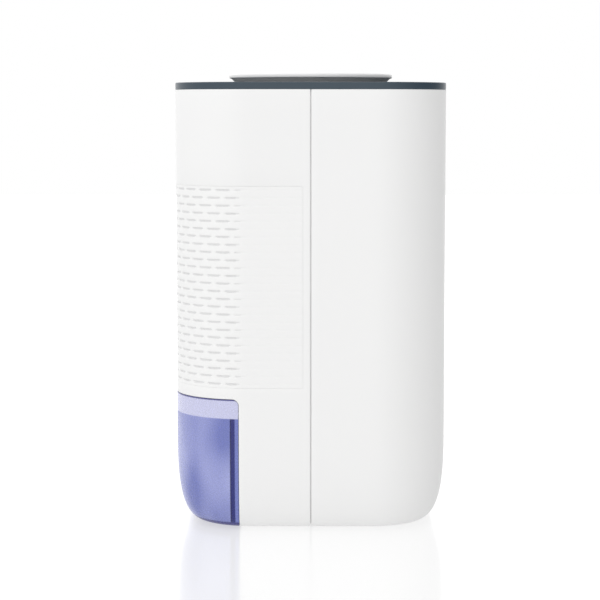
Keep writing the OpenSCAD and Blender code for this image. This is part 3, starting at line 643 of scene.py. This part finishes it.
def build_weave():
    border_y = -SEAM_HALF - PANEL_MARGIN - PANEL_GAP
    arc = math.radians(90) * CORNER_R
    side_run = border_y + CORE_Y
    length = 2 * (side_run + arc + CORE_X)
    half = length / WEAVE_STAKES
    top, bottom = PANEL_HIGH - PANEL_GAP, PANEL_LOW + PANEL_GAP
    row_h = (top - bottom) / WEAVE_ROWS
    fine_along, fine_down = 13, 11
    count = WEAVE_STAKES * fine_along
    rows = WEAVE_ROWS * fine_down
    floor = PANEL_RECESS - 0.02 * MM
    # Faces sunk past this share of the recess get the painted groove shade.
    painted_shade_depth = 0.45
    columns = []
    for k in range(count + 1):
        s = length * k / count
        if s <= side_run:
            columns.append(side_column(border_y - s, 1))
        elif s <= side_run + arc:
            columns.append(arc_column(math.degrees((s - side_run) / CORNER_R), 1, -1))
        elif s <= side_run + arc + 2 * CORE_X:
            columns.append(end_column(CORE_X - (s - side_run - arc), -1))
        elif s <= length - side_run:
            columns.append(arc_column(math.degrees((length - side_run - s) / CORNER_R), -1, -1))
        else:
            columns.append(side_column(border_y - (length - s), -1))
    strength = [weave_strength(length * k / count, length, side_run) for k in range(count + 1)]
    deep = PANEL_RECESS - 0.05 * MM
    frame_w = 0.5 * MM
    points, faces = [], []
    sunk = []
    for i in range(rows + 1):
        down = (top - bottom) * i / rows
        sunk.append([])
        for k, c in enumerate(columns):
            s = length * k / count
            edge = min(down, top - bottom - down, s, length - s)
            h = 1 - (1 - weave_height(s, down, row_h, half)) * strength[k]
            h = max(h, 1 - edge / frame_w)
            sunk[i].append(1 - min(1.0, h))
            points.append(on_body(c, (deep * sunk[i][k], top - down)))
    wide = count + 1
    for i in range(rows):
        for k in range(count):
            a = i * wide + k
            faces.append((a, a + 1, a + wide + 1, a + wide))
    back = len(points)
    for z in (top, bottom):
        points += [on_body(c, (floor, z)) for c in columns]
    for k in range(count):
        faces.append((back + k, back + wide + k, back + wide + k + 1, back + k + 1))
        faces.append((k + 1, k, back + k, back + k + 1))
        low = rows * wide + k
        faces.append((low, low + 1, back + wide + k + 1, back + wide + k))
    faces.append([i * wide for i in range(rows + 1)] + [back + wide, back])
    faces.append([i * wide + count for i in range(rows, -1, -1)] + [back + count, back + wide + count])
    skin = Skin()
    skin.points, skin.faces = points, faces
    panel = finish_piece("woven_panel", skin, WHITE, "casing", ["front_shell"], angle=50)
    # Faces sunk deep in the weave take the darker copy of the white: painted shade in the grooves.
    panel.data.materials.append(PAINTED_GROOVE_SHADE)
    for i in range(rows):
        for k in range(count):
            depths = [sunk[i + a][k + b] for a in (0, 1) for b in (0, 1)]
            if sum(depths) > len(depths) * painted_shade_depth:
                panel.data.polygons[i * count + k].material_index = 1
    return panel


# ---------------------------------------------------------------- rings round the plan, and round pieces
def plan_columns():
    turns = [3 * k for k in range(31)]
    columns = [arc_column(t, 1, -1) for t in turns] + [arc_column(t, -1, -1) for t in reversed(turns)]
    columns += [arc_column(t, -1, 1) for t in turns] + [arc_column(t, 1, 1) for t in reversed(turns)]
    return columns + columns[:1]


def ring_piece(name, outline, look, body, stands_for, bevel=0.0):
    """A closed outline of (distance in from the wall, height) swept round the body's plan."""
    skin = Skin()
    loop = outline + outline[:1]
    skin.patch([[on_body(c, r) for c in plan_columns()] for r in loop])
    return finish_piece(name, skin, look, body, stands_for, bevel=bevel)


def turned_piece(name, outline, look, body, stands_for, centres=((0, 0),), bevel=0.0, around=128,
                 closed=False):
    """An outline of (radius, height) turned about the vertical axis through each centre."""
    skin = Skin()
    loop = outline + outline[:1] if closed else outline
    for cx, cy in centres:
        rows = []
        for r, z in loop:
            rows.append([(cx + r * math.cos(2 * math.pi * k / around),
                          cy + r * math.sin(2 * math.pi * k / around), z) for k in list(range(around)) + [0]])
        skin.patch(rows)
    return finish_piece(name, skin, look, body, stands_for, bevel=bevel)


def fillet(centre, radius, start, end, count=6):
    """Points of an arc in an outline."""
    return [(centre[0] + radius * math.cos(math.radians(a)), centre[1] + radius * math.sin(math.radians(a)))
            for a in steps(start, end, count)]


def build_trim_ring():
    top_w = 7 * MM
    ledge = 5 * MM
    soft = 0.6 * MM
    chamfer, inner_chamfer = 0.25 * MM, 0.3 * MM
    deck_under = DECK_TOP - 2.5 * MM
    seat = deck_under - 2 * MM
    skirt = SHELL_TOP - 4 * MM
    lip = WALL + 0.2 * MM
    outline = [(0, SHELL_TOP + chamfer), (chamfer, SHELL_TOP)]
    outline += [(lip, SHELL_TOP), (lip, skirt), (top_w, skirt)]
    outline += [(top_w, seat), (top_w + ledge, seat), (top_w + ledge, deck_under)]
    outline += [(top_w, deck_under), (top_w, RIM_TOP - inner_chamfer), (top_w - inner_chamfer, RIM_TOP)]
    outline += [(soft - soft * math.sin(math.radians(a)), RIM_TOP - soft + soft * math.cos(math.radians(a)))
                for a in steps(0, 90, 5)]
    return ring_piece("trim_ring_moulding", outline, SLATE, "casing", ["trim_ring"])


def build_cap_top():
    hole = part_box("light_ring")[1].x - 2 * MM + 0.2 * MM
    edge = 1.5 * MM
    dish_r, dish = CAP_R - 6 * MM, 0.35 * MM
    outline = [(hole, CAP_UNDER), (CAP_R - 0.4 * MM, CAP_UNDER), (CAP_R, CAP_UNDER + 0.4 * MM)]
    outline += fillet((CAP_R - edge, CAP_TOP - edge), edge, 0, 90)
    outline += [(dish_r + 2 * MM, CAP_TOP), (dish_r, CAP_TOP - 0.1 * MM), (dish_r - 3 * MM, CAP_TOP - dish),
                (hole + 1 * MM, CAP_TOP - dish), (hole, CAP_TOP - dish - 0.2 * MM)]
    return turned_piece("cap_plate", outline, CAP_WHITE_PAINTED_LIGHT, "casing", ["cap_top"], closed=True)


def build_button():
    low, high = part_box("power_button")
    flange_r = high.x
    button_r = flange_r - 1.3 * MM
    dish = 0.7 * MM
    soft = 0.6 * MM
    outline = [(0, low.z), (flange_r, low.z), (flange_r, low.z + 0.8 * MM), (button_r, low.z + 0.8 * MM)]
    outline += fillet((button_r - soft, high.z - soft), soft, 0, 90)
    outline += [(r, high.z - dish * math.cos(math.pi / 2 * r / (button_r - 2 * MM)) ** 0.8)
                for r in steps(button_r - 2 * MM, 0, 10)]
    return turned_piece("button_cap", outline, BUTTON, "button", ["power_button"])


def build_feet():
    low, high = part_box("rubber_feet")
    r = 5.9 * MM
    soft = 0.25 * MM
    centres = [(sx * (high.x - r), y) for sx in (1, -1) for y in (low.y + r, high.y - r)]
    outline = [(0, FOOT_H), (r, FOOT_H), (r, soft)]
    outline += fillet((r - soft, soft), soft, 0, -90, 4) + [(0, 0)]
    return turned_piece("feet", outline, RUBBER, "casing", ["rubber_feet"], centres, around=64)


# ---------------------------------------------------------------- the tank
def build_tank_skin():
    skin = Skin()
    half = CORNER_CUTS // 2
    radius = TANK_CORNER - TANK_GAP
    top, edge = TANK_TOP - TANK_GAP, TANK_EDGE - TANK_GAP
    ring = front_ring([TANK_INNER])
    corner_y = steps(edge, TANK_INNER, half)
    corner_z = steps(top, top - radius, half)
    lower = [(0, z) for z in steps(top - radius, FOOT_H + BASE_HEIGHT, 5)[:-1]] + base_rows(0)
    skin.patch([[on_body(c, (0, z)) for c in ring] for z in corner_z])
    skin.patch([[on_body(c, r) for c in ring] for r in lower])
    foot_row = lower[-1]
    for side in (1, -1):
        skin.patch([[on_body(depth_column(y, side), r) for y in corner_y] for r in lower])
        # The rounded corner, as rings about the point where its arc is centred
        fan = []
        for m in range(half + 1):
            reach = radius * m / half
            fan.append(corner_arc(reach, TANK_INNER + reach, top - radius * (1 - m / half), side))
        skin.patch(fan)
        rim = [on_body(depth_column(y, side), foot_row) for y in corner_y]
        rim += [on_body(front_column(s, side), foot_row) for s in FRONT_SHARES[1:]]
        hub = (side * CORE_X, edge, FOOT_H)
        for p, q in zip(rim, rim[1:]):
            skin.face([hub, p, q])
    front_x = steps(CORE_X, -CORE_X, ACROSS)
    end_y = -CORE_Y - (CORNER_R - BASE_REACH)
    skin.strip([(x, edge, FOOT_H) for x in front_x], [(x, end_y, FOOT_H) for x in front_x])
    return finish_piece("tank_skin", skin, TANK, "tank", ["tank_vessel"],
                        thickness=TANK_WALL, bevel=0.2 * MM)


def build_tank_tub():
    """The water vessel behind the tank's skin, its open front edge flanged out to meet the skin."""
    skin = Skin()
    seat = TANK_WALL - 0.2 * MM
    corner = 12 * MM
    flange, wall = [[(inset, VESSEL_TOP)] + base_rows(inset) for inset in (seat, VESSEL_INSET)]
    middle = steps(1, -1, 10)[1:-1]

    def section(rows, y):
        right = [on_body(depth_column(y, 1), r) for r in rows]
        left = [(-x, py, z) for x, py, z in reversed(right)]
        floor = [(share * right[-1][0], y, rows[-1][1]) for share in middle]
        return right + floor + left

    sections = [section(flange, STEP_Y), section(wall, STEP_Y)]
    straight_end = VESSEL_REAR - corner
    for y in steps(STEP_Y, -CORE_Y, 3)[1:] + steps(-CORE_Y, straight_end, 6)[1:]:
        sections.append(section(wall, y))
    # The rear corners turn in, seen from above, and the last section is closed by the rear wall
    half_w = HALF_W - VESSEL_INSET
    for a in steps(0, 90, 8)[1:]:
        pull = corner * (1 - math.cos(math.radians(a)))
        y = straight_end + corner * math.sin(math.radians(a))
        limit = half_w - pull
        sections.append([(max(-limit, min(limit, x)), y, z) for x, _, z in section(wall, 0)])
    skin.patch(sections)
    rear = sections[-1]
    count = len(rear)
    for k in range(count // 2 - 1):
        skin.face([rear[k], rear[k + 1], rear[count - 2 - k], rear[count - 1 - k]])
    return finish_piece("tank_tub", skin, TUB, "tank", ["tank_vessel"],
                        thickness=TANK_WALL, bevel=0.2 * MM)


# ---------------------------------------------------------------- CAD shapes with their edges broken
SOFT_EDGES = {
    "outlet_grille": 0.25, "cap_skirt": 0.20, "light_ring": 0.15, "tank_lid": 0.30, "tank_plug": 0.30,
    "dc_jack": 0.20, "drip_tray": 0.30, "chassis": 0.30, "float_arm": 0.40, "fan_frame": 0.30,
    "hot_sink": 0.15, "cold_sink": 0.15, "control_board": 0.10, "board_components": 0.20,
    "level_sensor": 0.20, "display_board": 0.10, "thermoelectric_module": 0.10,
}


def build_softened(node, look, width):
    """The CAD node's shape with its sharp edges broken by a small rounding."""
    record = frame["record"]
    body = next(b for b, members in record["behaviour"]["bodies"].items() if node in members)
    tidy = bmesh.new()
    tidy.from_mesh(frame["nodes"][node].data)
    bmesh.ops.remove_doubles(tidy, verts=tidy.verts, dist=0.001 * MM)
    bmesh.ops.dissolve_limit(tidy, angle_limit=math.radians(0.5), verts=tidy.verts, edges=tidy.edges)
    skin = Skin()
    skin.points = [tuple(v.co) for v in tidy.verts]
    skin.faces = [[v.index for v in f.verts] for f in tidy.faces]
    tidy.free()
    piece = finish_piece(node + "_soft", skin, look, body, [node], bevel=width, segments=2)
    for polygon in piece.data.polygons:
        polygon.use_smooth = len(polygon.vertices) <= 4


# ---------------------------------------------------------------- stage, lights and camera
def build_stage():
    """A plain white floor with a faint polish."""
    grey, polish, shine, glow = 0.30, 0.14, 0.15, 0.575
    mat, _, shader = nodes_of("pale_floor")
    shader.inputs["Base Color"].default_value = (grey, grey, grey, 1)
    shader.inputs["Roughness"].default_value = polish
    shader.inputs["Specular IOR Level"].default_value = shine
    shader.inputs["Emission Color"].default_value = (1, 1, 1, 1)
    shader.inputs["Emission Strength"].default_value = glow
    mesh = bpy.data.meshes.new("floor")
    size = 4.0
    corners = [(-size, -size, 0), (size, -size, 0), (size, size, 0), (-size, size, 0)]
    mesh.from_pydata(corners, [], [(0, 1, 2, 3)])
    floor = bpy.data.objects.new("floor", mesh)
    mesh.materials.append(mat)
    bpy.context.scene.collection.objects.link(floor)


def build_lights():
    """A white studio dome that falls off towards the rear of the object; the camera sees plain white."""
    side_level, front_share = 1.32, 0.66
    world = bpy.data.worlds.new("studio")
    bpy.context.scene.world = world
    world.use_nodes = True
    tree = world.node_tree
    dome = tree.nodes["Background"]
    place = tree.nodes.new("ShaderNodeSeparateXYZ")
    tree.links.new(tree.nodes.new("ShaderNodeTexCoord").outputs["Generated"], place.inputs["Vector"])
    rear = squared(tree, share_of(tree, place.outputs["Y"], -0.04, 0.96))
    front = squared(tree, share_of(tree, place.outputs["Y"], 0.0, -1.0))
    level = product(tree, spread(tree, rear, side_level, 0.0), spread(tree, front, 1.0, front_share))
    tree.links.new(level, dome.inputs["Strength"])
    seen = tree.nodes.new("ShaderNodeBackground")
    mix = tree.nodes.new("ShaderNodeMixShader")
    tree.links.new(tree.nodes.new("ShaderNodeLightPath").outputs["Is Camera Ray"], mix.inputs["Fac"])
    for socket in (dome.inputs["Color"], seen.inputs["Color"]):
        socket.default_value = (1, 1, 1, 1)
    tree.links.new(dome.outputs["Background"], mix.inputs[1])
    tree.links.new(seen.outputs["Background"], mix.inputs[2])
    tree.links.new(mix.outputs["Shader"], tree.nodes["World Output"].inputs["Surface"])


def build_camera():
    """Level with the upper part of the body, square to its side, tipped down a little."""
    distance = 1.1
    height = 228.6 * MM
    tilt = 5.667
    data = bpy.data.cameras.new("camera")
    data.lens = 115.75
    data.sensor_width = 36.0
    data.shift_x = -0.01786
    camera = bpy.data.objects.new("camera", data)
    camera.location = (distance, 0, height)
    camera.rotation_euler = (math.radians(90 - tilt), 0, math.radians(90))
    bpy.context.scene.collection.objects.link(camera)
    bpy.context.scene.camera = camera


build_camera()
build_front_shell()
build_rear_shell()
build_tongue()
build_weave()
build_trim_ring()
build_cap_top()
build_button()
build_feet()
build_tank_skin()
build_tank_tub()
for soft_node, edge_mm in SOFT_EDGES.items():
    build_softened(soft_node, NODE_LOOKS[soft_node], edge_mm * MM)
build_stage()
build_lights()

bpy.context.scene.view_settings.view_transform = "Standard"
bpy.context.view_layer.update()
